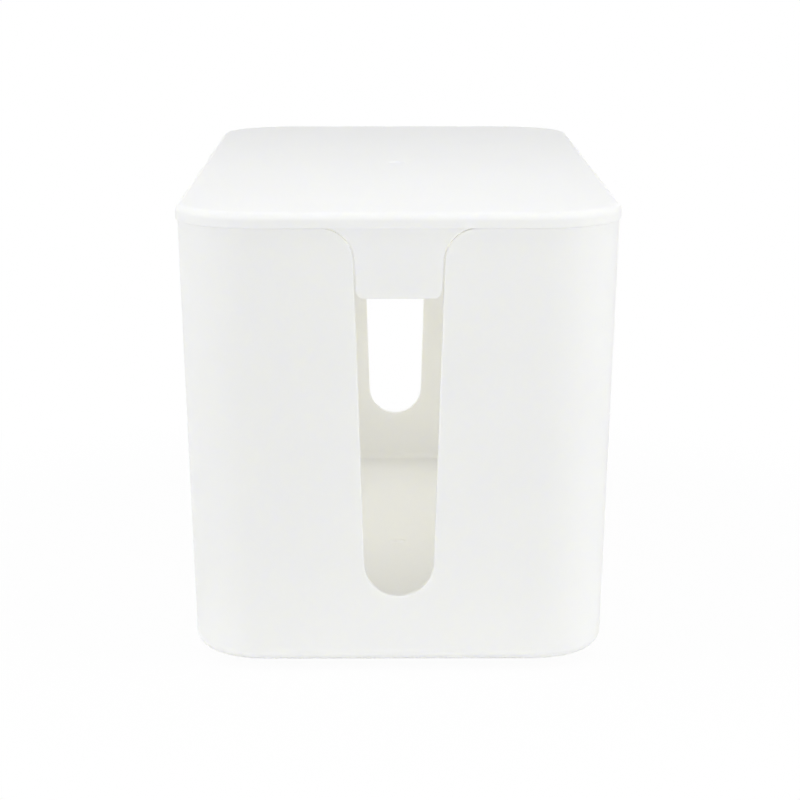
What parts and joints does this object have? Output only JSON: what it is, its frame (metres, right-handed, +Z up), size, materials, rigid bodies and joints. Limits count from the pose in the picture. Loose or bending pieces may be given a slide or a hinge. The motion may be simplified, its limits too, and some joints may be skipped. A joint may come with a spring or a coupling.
{
  "type": "cable management box",
  "caption": "Open rounded plastic tub with a U-shaped cord slot in each end and a lift-off lid whose tongues close the slots' tops, standing on rubber feet.",
  "frame": {"origin": "middle of the plane that the four feet stand on, under the centre of the box", "axes": "+X to the right across the box's width, +Y along its length away from the front end, +Z up"},
  "size_m": [0.115, 0.235, 0.12],
  "materials": {
    "tub_plastic": "fine satin moulding, white",
    "lid_plastic": "fine satin moulding, white",
    "foot_rubber": "matt grey rubber"
  },
  "bodies": {
    "base": {"tub": "tub_plastic", "foot_front_left": "foot_rubber", "foot_front_right": "foot_rubber", "foot_rear_left": "foot_rubber", "foot_rear_right": "foot_rubber"},
    "lid": {"lid": "lid_plastic"}
  },
  "joints": [
    {"name": "lid_lift", "type": "slide", "parent": "base", "child": "lid", "axis": [0, 0, 1], "range_m": [0, 0.15]}
  ]
}
